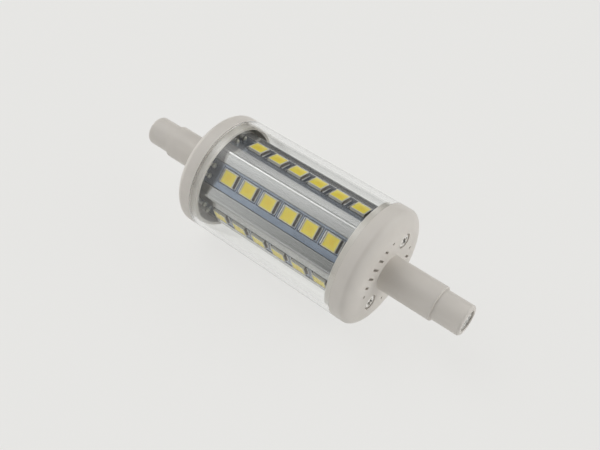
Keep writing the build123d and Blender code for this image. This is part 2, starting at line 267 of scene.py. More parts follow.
class NodeTree:
    """A tree of nodes being made."""

    def __init__(self, tree):
        self.tree = tree

    def join(self, start, stop):
        self.tree.links.new(start, stop)

    def node(self, kind, inputs=None, **settings):
        """A new node, with its settings and the values or links of its inputs."""
        node = self.tree.nodes.new(kind)
        for key, value in settings.items():
            setattr(node, key, value)
        for key, value in (inputs or {}).items():
            for one in value if isinstance(value, list) else [value]:
                if isinstance(one, bpy.types.NodeSocket):
                    self.join(one, node.inputs[key])
                else:
                    node.inputs[key].default_value = one
        return node

    def add(self, kind, inputs=None, **settings):
        """The first output of a new node."""
        return self.node(kind, inputs, **settings).outputs[0]

    def math(self, operation, *values):
        """One step of arithmetic."""
        return self.add("ShaderNodeMath", dict(enumerate(values)), operation=operation)

    def mix(self, share, first, second):
        """Two colours in the given shares."""
        inputs = {0: share, 6: opaque(first), 7: opaque(second)}
        return self.node("ShaderNodeMix", inputs, data_type="RGBA").outputs[2]


class Finish(NodeTree):
    """A surface finish being made: a shader and the patterns that vary it."""

    def __init__(self, name, constants):
        self.material = bpy.data.materials.new(name)
        self.material.use_nodes = True
        super().__init__(self.material.node_tree)
        self.tree.nodes.clear()
        self.shader = self.node("ShaderNodeBsdfPrincipled", constants)
        self.output = self.node("ShaderNodeOutputMaterial", {"Surface": self.shader.outputs["BSDF"]})

    def place(self, stretch=(1, 1, 1), space="Object"):
        """Coordinates that a pattern is laid out in."""
        inputs = {"Vector": self.node("ShaderNodeTexCoord").outputs[space], "Scale": stretch}
        return self.add("ShaderNodeMapping", inputs)

    def noise(self, scale, detail=2.0, stretch=(1, 1, 1)):
        """An uneven pattern with about scale spots to the metre."""
        inputs = {"Vector": self.place(stretch), "Scale": scale, "Detail": detail}
        return self.add("ShaderNodeTexNoise", inputs)

    def attribute(self, name):
        """A number stored on the mesh."""
        return self.node("ShaderNodeAttribute", attribute_name=name).outputs["Fac"]

    def edge_share(self):
        """How far a point of an LED lies from its nearest edge, as a share of its half width."""
        axes = self.node("ShaderNodeSeparateXYZ", {0: self.place(space="UV")}).outputs
        sides = []
        for axis in axes[:2]:
            off_middle = self.math("ABSOLUTE", self.math("SUBTRACT", axis, 0.5))
            sides.append(self.math("SUBTRACT", 1.0, self.math("MULTIPLY", off_middle, 2.0)))
        return self.math("MINIMUM", *sides)

    def spread(self, value, low, high, start=0.3, stop=0.7):
        """The value drawn out from low to high."""
        inputs = {"Value": value, "From Min": start, "From Max": stop, "To Min": low, "To Max": high}
        return self.add("ShaderNodeMapRange", inputs)

    def ramp(self, value, *stops):
        """A colour for each value, from (place, colour) stops."""
        node = self.node("ShaderNodeValToRGB", {"Fac": value})
        while len(node.color_ramp.elements) < len(stops):
            node.color_ramp.elements.new(1.0)
        for element, (place, shade) in zip(node.color_ramp.elements, stops):
            element.position = place
            element.color = opaque(shade)
        return node.outputs["Color"]

    def paint(self, shade):
        self.join(shade, self.shader.inputs["Base Color"])
        return self

    def gloss(self, roughness):
        self.join(roughness, self.shader.inputs["Roughness"])
        return self

    def metal(self, share):
        self.join(share, self.shader.inputs["Metallic"])
        return self

    def bump(self, height, depth):
        """Relief of the given depth in metres."""
        inputs = {"Height": height, "Distance": depth, "Strength": 1.0}
        self.join(self.add("ShaderNodeBump", inputs), self.shader.inputs["Normal"])
        return self

    def blend(self, share, other):
        """Another shader mixed in by a share."""
        both = self.add("ShaderNodeMixShader", {0: share, 1: self.shader.outputs["BSDF"], 2: other})
        self.join(both, self.output.inputs["Surface"])
        return self


def moulded_plastic(name, shade, roughness=0.42):
    """Satin moulded plastic: faint clouding, and a fine grain."""
    finish = Finish(name, {"IOR": 1.5})
    clouds = finish.noise(220, 3)
    grain = finish.noise(5200, 2)
    finish.paint(finish.ramp(clouds, (0.3, dimmed(shade, 0.97)), (0.7, dimmed(shade, 1.02))))
    finish.gloss(finish.spread(clouds, roughness - 0.05, roughness + 0.05))
    return finish.bump(grain, 4e-6).material


def clear_plastic(name, tint):
    """Polished clear plastic that lets light through to what it covers."""
    constants = {"Base Color": opaque(tint), "Roughness": 0.0, "IOR": 1.49, "Transmission Weight": 1.0}
    finish = Finish(name, constants)
    light = finish.node("ShaderNodeLightPath").outputs
    share = finish.math("MAXIMUM", light["Is Shadow Ray"], light["Is Diffuse Ray"])
    clear = finish.add("ShaderNodeBsdfTransparent", {"Color": opaque(tint)})
    return finish.blend(share, clear).material


def extruded_metal(name, shade):
    """Plain extruded aluminium: die lines along its length, and a soft haze."""
    finish = Finish(name, {"Metallic": 1.0})
    lines = finish.noise(2600, 3, (0.012, 1, 1))
    haze = finish.noise(500, 3, (0.3, 1, 1))
    finish.paint(finish.ramp(lines, (0.25, dimmed(shade, 0.90)), (0.75, dimmed(shade, 1.06))))
    finish.gloss(finish.spread(haze, 0.12, 0.19))
    return finish.bump(lines, 3e-6).material


def plated_metal(name, shade, roughness, wear):
    """Plated metal with fine scratches, and patches worn down to a share of its colour."""
    finish = Finish(name, {"Metallic": 1.0})
    patches = finish.noise(1500, 3)
    scratches = finish.noise(9000, 2, (1, 0.08, 1))
    finish.paint(finish.ramp(patches, (0.38, dimmed(shade, wear)), (0.62, dimmed(shade, 1.05))))
    finish.gloss(finish.spread(patches, roughness - 0.07, roughness + 0.1))
    return finish.bump(scratches, 2e-6).material


def screw_steel(name, shade, top_x):
    """Plated steel: a bright head, painted dark as shade below its top, in its cross recess and round its
    rim.
    """
    finish = Finish(name, {"Metallic": 1.0})
    x = finish.add("ShaderNodeSeparateXYZ", {0: finish.place()})
    depth = finish.math("SUBTRACT", top_x, finish.math("ABSOLUTE", x))
    # Painted shade: everything more than 0.2 mm below the head's top goes almost black. This covers the cross
    # recess and the head's rim.
    painted_recess_shade = finish.spread(depth, 0.0, 1.0, 0.2 * MM, 0.34 * MM)
    patches = finish.noise(1500, 3)
    bright = finish.ramp(patches, (0.3, dimmed(shade, 0.85)), (0.7, dimmed(shade, 1.05)))
    finish.paint(finish.mix(painted_recess_shade, bright, dimmed(shade, 0.05)))
    return finish.gloss(finish.spread(patches, 0.2, 0.34)).material


def board_lacquer(name, shade):
    """Dark lacquer over copper: broad areas of copper show faintly through it."""
    finish = Finish(name, {"IOR": 1.55, "Metallic": 0.9})
    areas = finish.noise(420, 1, (0.5, 1, 1))
    grain = finish.noise(3800, 2)
    finish.paint(finish.ramp(areas, (0.42, dimmed(shade, 0.93)), (0.52, shade), (0.64, dimmed(shade, 1.08))))
    finish.gloss(finish.spread(grain, 0.14, 0.22))
    return finish.bump(grain, 3e-6).material


def printed_ink(name, shade):
    """Matt printed ink, a little uneven."""
    finish = Finish(name, {"IOR": 1.45})
    spots = finish.noise(6000, 2)
    finish.paint(finish.ramp(spots, (0.3, dimmed(shade, 0.7)), (0.75, dimmed(shade, 1.7))))
    return finish.gloss(finish.spread(spots, 0.45, 0.6)).material


def led_plastic(name):
    """White moulding of an LED, tinted by the phosphor towards the cup."""
    finish = Finish(name, {"IOR": 1.5})
    white, cream, tinted = (0.70, 0.68, 0.60), (0.73, 0.68, 0.46), (0.79, 0.68, 0.25)
    grain = finish.noise(6000, 2)
    finish.paint(finish.ramp(finish.edge_share(), (0.0, white), (0.08, cream), (0.16, tinted)))
    return finish.gloss(finish.spread(grain, 0.38, 0.5)).material


def led_phosphor(name, middle, edge, rim):
    """Phosphor in clear resin: deeper over the chip, paler at the rim, each LED a little different."""
    finish = Finish(name, {"IOR": 1.5})
    cloud = finish.noise(1800, 2)
    across = finish.math("ADD", finish.edge_share(), finish.spread(cloud, -0.10, 0.10))
    base = finish.ramp(across, (0.10, rim), (0.28, edge), (0.85, middle))
    paler = finish.spread(finish.attribute("shade"), 0.0, 0.35, 0, 1)
    finish.paint(finish.mix(paler, base, edge))
    return finish.gloss(finish.spread(cloud, 0.16, 0.26)).material


def bright_solder(name):
    """Solder that has set with a slightly wrinkled skin."""
    finish = Finish(name, {"Metallic": 1.0})
    skin = finish.noise(2600, 3)
    finish.paint(finish.ramp(skin, (0.3, (0.34, 0.33, 0.27)), (0.7, (0.50, 0.49, 0.42))))
    finish.gloss(finish.spread(skin, 0.34, 0.5))
    return finish.bump(skin, 1.5e-5).material


def shaded_fluxed_solder(name):
    """Solder at an LED's end: bright on the pad, and dark brown against the LED, which is flux with painted
    shade at the foot of the LED's end.
    """
    finish = Finish(name, {"IOR": 1.5})
    outwards = finish.add("ShaderNodeSeparateXYZ", {0: finish.place(space="UV")})
    skin = finish.noise(5200, 3)
    along = finish.math("ADD", outwards, finish.spread(skin, -0.12, 0.12))
    # Dark brown against the LED: some flux, and painted shade at the foot of the LED's end.
    flux_and_shade, tin = (0.060, 0.043, 0.022), (0.66, 0.66, 0.65)
    finish.paint(finish.ramp(along, (0.50, flux_and_shade), (0.64, dimmed(tin, 0.55)), (0.76, tin)))
    finish.metal(finish.spread(along, 0.0, 0.9, 0.5, 0.75))
    finish.gloss(finish.spread(skin, 0.24, 0.4))
    return finish.bump(skin, 6e-6).material


def wound_copper(name):
    """Enamelled copper wire, wound close, with painted shade in the grooves between its turns."""
    finish = Finish(name, {"Metallic": 1.0})
    inputs = {"Vector": finish.place(), "Scale": 1250.0, "Distortion": 0.3}
    turns = finish.node("ShaderNodeTexWave", inputs, bands_direction="X").outputs["Fac"]
    # The dark end of the ramp is painted shade in the grooves between the turns.
    finish.paint(finish.ramp(turns, (0.1, (0.20, 0.07, 0.03)), (0.6, (0.72, 0.33, 0.14))))
    finish.gloss(finish.spread(turns, 0.42, 0.28, 0, 1))
    return finish.bump(turns, 4e-5).material


def driver_lacquer(name):
    """Green lacquer over the driver board's copper."""
    finish = Finish(name, {"IOR": 1.5})
    inputs = {"Vector": finish.place(), "Scale": 420.0}
    areas = finish.node("ShaderNodeTexVoronoi", inputs, distance="CHEBYCHEV").outputs["Distance"]
    finish.paint(finish.ramp(areas, (0.45, (0.030, 0.16, 0.06)), (0.50, (0.015, 0.09, 0.035))))
    return finish.gloss(finish.spread(finish.noise(3000), 0.28, 0.4)).material


def table_top(name, shade, glow, share):
    """A smooth pale table top that looks evenly white, with a share of its look left to light and shadow."""
    finish = Finish(name, {"Specular IOR Level": 0.2})
    clouds = finish.noise(9, 2)
    finish.paint(finish.ramp(clouds, (0.3, dimmed(shade, 0.99)), (0.7, dimmed(shade, 1.01))))
    finish.gloss(finish.spread(clouds, 0.6, 0.7))
    light = finish.node("ShaderNodeLightPath").outputs
    seen = finish.math("MAXIMUM", light["Is Camera Ray"], light["Is Glossy Ray"])
    seen = finish.math("MAXIMUM", seen, light["Is Transmission Ray"])
    white = finish.add("ShaderNodeEmission", {"Color": opaque(glow)})
    return finish.blend(finish.math("MULTIPLY", seen, 1.0 - share), white).material


class ShapeTree(NodeTree):
    """A tree of shape nodes, with named inputs for its counts and lengths."""

    def __init__(self, name, counts, lengths):
        super().__init__(bpy.data.node_groups.new(name, "GeometryNodeTree"))
        self.tree.is_modifier = True
        kinds = {"Shape": "Geometry", "Finish": "Material"}
        kinds.update(dict.fromkeys(counts, "Int"))
        kinds.update(dict.fromkeys(lengths, "Float"))
        for key, kind in kinds.items():
            self.tree.interface.new_socket(key, in_out="INPUT", socket_type="NodeSocket" + kind)
        self.tree.interface.new_socket("Result", in_out="OUTPUT", socket_type="NodeSocketGeometry")
        self.given = self.node("NodeGroupInput").outputs

    def vector(self, x=0.0, y=0.0, z=0.0):
        return self.add("ShaderNodeCombineXYZ", {0: x, 1: y, 2: z})

    def rod(self, radius, start_x, stop_x, y, sides):
        """A round rod along X between two places."""
        deep = self.math("SUBTRACT", stop_x, start_x)
        middle = self.math("MULTIPLY", self.math("ADD", start_x, stop_x), 0.5)
        shape = self.add("GeometryNodeMeshCylinder", {"Vertices": sides, "Radius": radius, "Depth": deep})
        inputs = {"Geometry": shape, "Translation": self.vector(middle, y), "Rotation": (0, pi / 2, 0)}
        return self.add("GeometryNodeTransform", inputs)

    def repeat(self, shape, number, position, **each):
        """The shape set at a number of points, with a turn or a stretch of its own at each."""
        points = self.add("GeometryNodePoints", {"Count": number, "Position": position})
        return self.add("GeometryNodeInstanceOnPoints", {"Points": points, "Instance": shape, **each})

    def end(self, shape):
        """Real faces with the finish, as the tree's result."""
        real = self.add("GeometryNodeRealizeInstances", {"Geometry": shape})
        result = self.add("GeometryNodeSetMaterial", {"Geometry": real, "Material": self.given["Finish"]})
        self.node("NodeGroupOutput", {0: result})
        return self.tree


def cap_openings():
    """Bosses, screw seats and vents of the right cap."""
    tree = ShapeTree("Cap openings", ["Vents"], [
        "Vent width", "Vent pitch", "Vent chord", "Vent reach", "Face", "Inner face",
        "Boss end", "Boss radius", "Screw circle", "Well radius", "Well floor", "Hole radius"])
    given = tree.given
    margin, root = 1.0 * MM, 0.4 * MM  # how far cutters reach past a face, and bosses into the wall
    index = tree.add("GeometryNodeInputIndex")
    group = tree.math("FLOOR", tree.math("DIVIDE", tree.math("ADD", index, 0.5), given["Vents"]))
    within = tree.math("SUBTRACT", index, tree.math("MULTIPLY", group, given["Vents"]))
    middle = tree.math("MULTIPLY", tree.math("SUBTRACT", given["Vents"], 1.0), 0.5)
    side = tree.math("SUBTRACT", 1.0, tree.math("MULTIPLY", group, 2.0))
    y = tree.math("MULTIPLY", tree.math("SUBTRACT", within, middle), given["Vent pitch"])
    square = tree.math("SUBTRACT", tree.math("POWER", given["Vent reach"], 2.0), tree.math("MULTIPLY", y, y))
    outer = tree.math("SQRT", square)
    inner = tree.math("MINIMUM", given["Vent chord"], tree.math("SUBTRACT", outer, given["Vent width"]))
    z = tree.math("MULTIPLY", tree.math("ADD", outer, inner), 0.5)
    outside = tree.math("ADD", given["Face"], margin)
    inside = tree.math("SUBTRACT", given["Inner face"], margin)
    x = tree.math("MULTIPLY", tree.math("ADD", outside, inside), 0.5)
    place = tree.vector(x, tree.math("MULTIPLY", y, side), tree.math("MULTIPLY", z, side))
    through = tree.math("SUBTRACT", outside, inside)
    stretch = tree.vector(through, given["Vent width"], tree.math("SUBTRACT", outer, inner))
    slit = tree.add("GeometryNodeMeshCube", {"Size": (1.0, 1.0, 1.0)})
    vents = tree.repeat(slit, tree.math("MULTIPLY", given["Vents"], 2.0), place, Scale=stretch)
    vents = tree.add("GeometryNodeRealizeInstances", {"Geometry": vents})
    bosses, wells, holes = [], [], []
    for side in (-1.0, 1.0):
        y = tree.math("MULTIPLY", given["Screw circle"], side)
        overlap = tree.math("ADD", given["Inner face"], root)
        below = tree.math("SUBTRACT", given["Boss end"], margin)
        bosses.append(tree.rod(given["Boss radius"], given["Boss end"], overlap, y, 40))
        wells.append(tree.rod(given["Well radius"], given["Well floor"], outside, y, 48))
        holes.append(tree.rod(given["Hole radius"], below, outside, y, 32))
    inputs = {"Mesh 2": [given["Shape"], *bosses]}
    whole = tree.add("GeometryNodeMeshBoolean", inputs, operation="UNION", solver="EXACT")
    inputs = {"Mesh 1": whole, "Mesh 2": [vents, *wells, *holes]}
    return tree.end(tree.add("GeometryNodeMeshBoolean", inputs, operation="DIFFERENCE", solver="EXACT"))


def rows_round_lamp():
    """A shape laid along a row, and the row repeated on every flat of the sink."""
    tree = ShapeTree("Rows round the lamp", ["Count", "Flats"], ["Start", "Pitch", "First turn"])
    given = tree.given
    index = tree.add("GeometryNodeInputIndex")
    along = tree.math("ADD", given["Start"], tree.math("MULTIPLY", index, given["Pitch"]))
    row = tree.repeat(given["Shape"], given["Count"], tree.vector(along))
    step = tree.math("DIVIDE", 2 * pi, given["Flats"])
    angle = tree.math("ADD", given["First turn"], tree.math("MULTIPLY", index, step))
    return tree.end(tree.repeat(row, given["Flats"], (0, 0, 0), Rotation=tree.vector(angle)))


def screw_thread():
    """A ridge wound round a screw's shank."""
    tree = ShapeTree("Screw thread", [], ["Radius", "Depth", "Start", "Length", "Pitch"])
    given = tree.given
    path = tree.add("GeometryNodeCurveSpiral", {
        "Resolution": 24,
        "Rotations": tree.math("DIVIDE", given["Length"], given["Pitch"]),
        "Start Radius": given["Radius"],
        "End Radius": given["Radius"],
        "Height": given["Length"],
    })
    ridge = tree.add("GeometryNodeCurvePrimitiveCircle", {"Resolution": 6, "Radius": given["Depth"]})
    wound = tree.add("GeometryNodeCurveToMesh", {"Curve": path, "Profile Curve": ridge, "Fill Caps": True})
    inputs = {"Geometry": wound, "Translation": tree.vector(given["Start"]), "Rotation": (0, -pi / 2, 0)}
    wound = tree.add("GeometryNodeTransform", inputs)
    return tree.end(tree.add("GeometryNodeJoinGeometry", {"Geometry": [given["Shape"], wound]}))


def placed(name, data):
    """A new object in the scene."""
    made = bpy.data.objects.new(name, data)
    bpy.context.scene.collection.objects.link(made)
    return made


def shaped(mesh, tree, finish, sizes):
    """The mesh after a tree of shape nodes with these sizes, as a plain mesh."""
    carrier = placed("carrier", mesh)
    modifier = carrier.modifiers.new("Shape", "NODES")
    modifier.node_group = tree
    wanted = {"Finish": finish, **sizes}
    for item in tree.interface.items_tree:
        if item.in_out == "INPUT" and item.name in wanted:
            modifier[item.identifier] = wanted.pop(item.name)
    if wanted:
        raise ValueError(f"{tree.name} has no input named {sorted(wanted)}")
    return plain_mesh(carrier)


def plain_mesh(carrier):
    """The evaluated object's mesh. The object itself is removed."""
    graph = bpy.context.evaluated_depsgraph_get()
    result = carrier.evaluated_get(graph)
    mesh = bpy.data.meshes.new_from_object(result, preserve_all_data_layers=True, depsgraph=graph)
    carrier.modifiers.clear()
    bpy.data.objects.remove(carrier)
    if not mesh.polygons:
        raise ValueError("a piece came out empty")
    return mesh


def add_piece(name, mesh, finish, nodes):
    """A finished piece that rides with the lamp and stands for its solid nodes."""
    mesh = weighted(mesh)
    mesh.name = name
    mesh.materials.clear()
    mesh.materials.append(finish)
    piece = placed(name, mesh)
    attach(piece, "root")
    if nodes:
        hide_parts(*nodes)


def at_both_ends(name, mesh, finish, node):
    """A piece made for the right end, at both ends of the lamp."""
    for side, place in ENDS.items():
        one = mesh.copy()
        one.transform(place)
        add_piece(f"{side}_{name}", one, finish, [f"{node}_{side}"])


def weighted(mesh):
    """The mesh with flat faces that stay flat where they meet a rounding."""
    mesh.shade_smooth()
    mesh.set_sharp_from_angle(angle=radians(32))
    carrier = placed("carrier", mesh)
    modifier = carrier.modifiers.new("Flat", "WEIGHTED_NORMAL")
    modifier.keep_sharp = True
    modifier.weight = 100
    return plain_mesh(carrier)


def mesh_from(shape):
    """A mesh from a shape being built, with its doubles merged and its faces outwards."""
    bmesh.ops.remove_doubles(shape, verts=shape.verts, dist=1e-8)
    bmesh.ops.recalc_face_normals(shape, faces=shape.faces)
    mesh = bpy.data.meshes.new("shape")
    shape.to_mesh(mesh)
    shape.free()
    return mesh


def rounded(corners, steps=6):
    """A closed outline from (x, y, radius) corners, each rounded by its radius."""
    outline = []
    for k, (x, y, radius) in enumerate(corners):
        here = Vector((x, y))
        if radius == 0:
            outline.append(here)
            continue
        before = (Vector(corners[k - 1][:2]) - here).normalized()
        after = (Vector(corners[(k + 1) % len(corners)][:2]) - here).normalized()
        half = before.angle(after) / 2
        centre = here + (before + after).normalized() * radius / sin(half)
        start = here + before * radius / tan(half) - centre
        stop = here + after * radius / tan(half) - centre
        outline += [centre + start.lerp(stop, s / steps).normalized() * radius for s in range(steps + 1)]
    return outline


def bridge(shape, ring, following):
    """Lay faces between two rings with as many points each."""
    for k in range(len(ring)):
        after = (k + 1) % len(ring)
        shape.faces.new((ring[k], ring[after], following[after], following[k]))


def turned(profile, segments):
    """A closed outline of (x, radius) points turned about the lamp's axis."""
    shape = bmesh.new()
    angles = [2 * pi * k / segments for k in range(segments)]
    rings = [[shape.verts.new((x, r * sin(a), r * cos(a))) for a in angles] for x, r in profile]
    for ring, following in zip(rings, rings[1:] + rings[:1]):
        bridge(shape, ring, following)
    bmesh.ops.remove_doubles(shape, verts=shape.verts, dist=1e-8)
    bmesh.ops.dissolve_degenerate(shape, edges=shape.edges, dist=1e-9)
    return mesh_from(shape)


def rounded_rectangle(long, wide, corner, steps=4):
    """A rounded rectangle about the origin, anticlockwise."""
    a, b = long / 2, wide / 2
    return rounded([(a, -b, corner), (a, b, corner), (-a, b, corner), (-a, -b, corner)], steps)


def stacked(loops, long, wide):
    """A closed block through loops of (points, height), with flat coordinates across its top."""
    shape = bmesh.new()
    uv = shape.loops.layers.uv.new("UVMap")
    rings = [[shape.verts.new((p.x, p.y, height)) for p in points] for points, height in loops]
    for ring, following in zip(rings, rings[1:]):
        bridge(shape, ring, following)
    shape.faces.new(list(reversed(rings[0])))
    shape.faces.new(rings[-1])
    for face in shape.faces:
        for loop in face.loops:
            loop[uv].uv = (loop.vert.co.x / long + 0.5, loop.vert.co.y / wide + 0.5)
    return mesh_from(shape)


def shifted(mesh, y=0.0, z=0.0):
    """The mesh moved across the lamp's axis."""
    mesh.transform(Matrix.Translation((0, y, z)))
    return mesh


def joined(*meshes):
    """Several meshes as one."""
    shape = bmesh.new()
    for mesh in meshes:
        shape.from_mesh(mesh)
    whole = bpy.data.meshes.new("shape")
    shape.to_mesh(whole)
    shape.free()
    return whole


def tube_along(points, radius):
    """A round tube along a smooth line with these points as its control points."""
    line = bpy.data.curves.new("route", "CURVE")
    line.dimensions = "3D"
    line.bevel_depth = radius
    line.bevel_resolution = 2
    line.use_fill_caps = True
    line.resolution_u = 10
    spline = line.splines.new("NURBS")
    spline.points.add(len(points) - 1)
    for point, place in zip(spline.points, points):
        point.co = (*place, 1.0)
    spline.order_u = 3
    spline.use_endpoint_u = True
    mesh = plain_mesh(placed("carrier", line))
    bpy.data.curves.remove(line)
    return mesh


def cap_profile(cap, end_x, collar_x, radius):
    """Half section of the right cap, with its moulded roundings."""
    inner_face = cap.face_x - cap.face_thickness
    seat = end_x - cap.contact_depth - cap.contact_head
    shank_clearance = 0.05 * MM
    bore = cap.shank_radius + shank_clearance
    steps = 12
    shoulder = []
    for k in range(steps + 1):
        a = pi / 2 * k / steps
        x = cap.face_x - cap.shoulder_length * (1 - sin(a))
        shoulder.append((x, radius - cap.shoulder_inset * (1 - cos(a)), 0))
    return rounded([
        (collar_x, cap.collar_bore, 0.12 * MM),
        (collar_x, cap.collar_radius, 0.15 * MM),
        (cap.skirt_x, cap.collar_radius, 0),
        (cap.skirt_x, radius, 0.02 * MM),
        *shoulder,
        (cap.face_x, cap.neck_radius, 0.12 * MM),
        (cap.step_x, cap.neck_radius, 0.2 * MM),
        (cap.step_x, cap.tip_radius, 0.1 * MM),
        (end_x, cap.tip_radius, 0.6 * MM),
        (end_x, cap.recess_radius, 0.15 * MM),
        (seat, cap.recess_radius, 0),
        (seat, bore, 0),
        (inner_face, bore, 0),
        (inner_face, cap.collar_bore, 0.3 * MM),
    ])


class LAMP_OT_end_caps(bpy.types.Operator):
    """Build the two moulded end caps"""
    bl_idname = "lamp.end_caps"
    bl_label = "End caps"

    def execute(self, context):
        cap = context.scene.lamp_caps
        low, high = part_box("end_cap_right")
        finish = moulded_plastic("cap plastic", tuple(cap.plastic))
        shell = turned(cap_profile(cap, high.x, low.x, widest("end_cap_right")), 160)
        mesh = shaped(shell, cap_openings(), finish, {
            "Vents": cap.vents,
            "Vent width": cap.vent_width,
            "Vent pitch": cap.vent_pitch,
            "Vent chord": cap.vent_chord,
            "Vent reach": cap.vent_reach,
            "Face": cap.face_x,
            "Inner face": cap.face_x - cap.face_thickness,
            "Boss end": far_x("heat_sink"),
            "Boss radius": cap.screw_radius + cap.boss_wall,
            "Screw circle": cap.screw_circle,
            "Well radius": cap.well_radius,
            "Well floor": cap.face_x - cap.well_depth,
            "Hole radius": cap.screw_radius + cap.hole_clearance,
        })
        at_both_ends("end_cap", mesh, finish, "end_cap")
        return {"FINISHED"}


class LAMP_OT_contacts(bpy.types.Operator):
    """Build the riveted contacts in the tips"""
    bl_idname = "lamp.contacts"
    bl_label = "Contacts"

    def execute(self, context):
        cap = context.scene.lamp_caps
        low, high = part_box("contact_right")
        finish = plated_metal("contact metal", (0.86, 0.85, 0.80), 0.24, 0.16)
        head = widest("contact_right")
        seat = high.x - cap.contact_head
        profile = rounded([
            (low.x, 0, 0),
            (low.x, cap.shank_radius, 0.2 * MM),
            (seat, cap.shank_radius, 0),
            (seat, head, 0),
            (high.x, head, 0.05 * MM),
            (high.x + 0.26 * MM, head * 0.8, 0.5 * MM),
            (high.x + 0.34 * MM, head * 0.3, 0.4 * MM),
            (high.x + 0.30 * MM, 0, 0),
        ], 4)
        at_both_ends("contact", turned(profile, 56), finish, "contact")
        return {"FINISHED"}


def cross_recess(mesh, cap, top):
    """The screw with a cross-shaped recess, narrower at its floor, cut into the head."""
    above, pinch = 0.3 * MM, 0.55
    carrier = placed("carrier", mesh)
    cutters = []
    for long, wide in ((cap.cross_length, cap.cross_width), (cap.cross_width, cap.cross_length)):
        shape = bmesh.new()
        bmesh.ops.create_cube(shape, size=1.0)
        for vert in shape.verts:
            deep = vert.co.x < 0
            share = pinch if deep else 1.0
            x = top - cap.cross_depth if deep else top + above
            vert.co = (x, vert.co.y * long * share, vert.co.z * wide * share)
        cutter = placed("cutter", mesh_from(shape))
        cutters.append(cutter)
        cut = carrier.modifiers.new("Cross", "BOOLEAN")
        cut.operation = "DIFFERENCE"
        cut.solver = "EXACT"
        cut.object = cutter
    result = plain_mesh(carrier)
    for cutter in cutters:
        bpy.data.objects.remove(cutter)
    return result


class LAMP_OT_cap_screws(bpy.types.Operator):
    """Build the four screws that hold the caps to the sink"""
    bl_idname = "lamp.cap_screws"
    bl_label = "Cap screws"

    def execute(self, context):
        cap = context.scene.lamp_caps
        low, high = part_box("cap_screws_right")
        finish = screw_steel("screw steel", (0.90, 0.88, 0.84), high.x)
        seat = high.x - cap.screw_head_height
        core = cap.screw_radius - cap.thread_depth
        profile = rounded([
            (low.x, 0, 0),
            (low.x + 0.6 * MM, core, 0),
            (seat, core, 0),
            (seat, cap.screw_head_radius, 0.1 * MM),
            (high.x - 0.22 * MM, cap.screw_head_radius, 0.12 * MM),
            (high.x, cap.screw_head_radius * 0.78, 0.3 * MM),
            (high.x, 0, 0),
        ], 5)
        head = cross_recess(turned(profile, 48), cap, high.x)
        ridge = 0.12 * MM
        screw = shaped(head, screw_thread(), finish, {
            "Radius": cap.screw_radius - ridge,
            "Depth": ridge,
            "Start": seat - 0.3 * MM,
            "Length": cap.screw_length - 1.0 * MM,
            "Pitch": cap.thread_pitch,
        })
        pair = []
        for side, spin in ((-1, 0.5), (1, 1.1)):
            one = screw.copy()
            one.transform(Matrix.Rotation(spin, 4, "X"))
            pair.append(shifted(one, y=side * cap.screw_circle))
        at_both_ends("cap_screws", joined(*pair), finish, "cap_screws")
        return {"FINISHED"}


class LAMP_OT_clear_tube(bpy.types.Operator):
    """Build the clear tube"""
    bl_idname = "lamp.clear_tube"
    bl_label = "Clear tube"

    def execute(self, context):
        tube = context.scene.lamp_tube
        edge = 0.01 * MM
        inside = tube.radius - tube.wall
        profile = rounded([
            (-tube.end_x, inside, edge),
            (-tube.end_x, tube.radius, edge),
            (tube.end_x, tube.radius, edge),
            (tube.end_x, inside, edge),
        ], 3)
        finish = clear_plastic("clear tube", tuple(tube.tint))
        add_piece("tube", turned(profile, 256), finish, ["clear_tube"])
        return {"FINISHED"}


def rib_hollow(sink):
    """The hollow from a corner rib down to the land beside it, and the rib's middle."""
    edge = Vector((sink.groove_width / 2, sink.flat))
    along = Vector((sink.flat * tan(pi / 6) - edge.x, -sink.land_fall)).normalized()
    out = Vector((-along.y, along.x))
    middle = (sink.reach - sink.rib_radius) * Vector((sin(pi / 6), cos(pi / 6)))
    apart = sink.rib_radius + sink.rib_fillet
    offset = edge + sink.rib_fillet * out - middle
    near = offset.dot(along)
    centre = middle + offset - along * (near + (near ** 2 - offset.length_squared + apart ** 2) ** 0.5)
    start = (middle - centre).normalized()
    steps = 8
    hollow = [centre + sink.rib_fillet * start.lerp(-out, k / steps).normalized() for k in range(steps + 1)]
    return hollow, middle


def sink_outline(sink):
    """Outside of the extrusion's section: a groove in each flat, and a rib along each corner."""
    lip = 0.08 * MM
    hollow, middle = rib_hollow(sink)
    mirrored = [2 * point.dot(middle) / middle.length_squared * middle - point for point in hollow]
    last = atan2(hollow[0].y - middle.y, hollow[0].x - middle.x)
    first = 2 * pi / 3 - last
    arc = [first + (last - first) * k / 20 for k in range(1, 20)]
    rib = [middle + sink.rib_radius * Vector((cos(a), sin(a))) for a in arc]
    side = [
        *[(point.x, point.y, 0) for point in (*reversed(mirrored), *rib, *hollow)],
        (sink.groove_width / 2, sink.flat, lip),
        (sink.groove_width / 2, sink.groove_floor, 0),
        (-sink.groove_width / 2, sink.groove_floor, 0),
        (-sink.groove_width / 2, sink.flat, lip),
    ]
    corners = []
    for k in BOARDS:
        a = k * pi / 3
        corners += [(x * cos(a) - y * sin(a), x * sin(a) + y * cos(a), r) for x, y, r in side]
    return rounded(corners, 8)


def sink_bore(sink, circle):
    """The bore of the extrusion's section, drawn in round the two screw ports."""
    corner = sink.bore * tan(pi / 6)
    wall = sink.port_radius + sink.port_wall
    gap = sink.bore - circle * cos(pi / 6)
    chord = (wall ** 2 - gap ** 2) ** 0.5
    y = gap * cos(pi / 6) - chord * sin(pi / 6)
    z = gap * sin(pi / 6) + chord * cos(pi / 6)
    start = atan2(z, y)
    arc = [start + (2 * pi - 2 * start) * k / 20 for k in range(21)]
    right = [Vector((circle + wall * cos(a), wall * sin(a))) for a in arc]
    left = [-point for point in right]
    return right + [Vector((corner, -sink.bore)), Vector((-corner, -sink.bore))] + left + [
        Vector((-corner, sink.bore)), Vector((corner, sink.bore))]


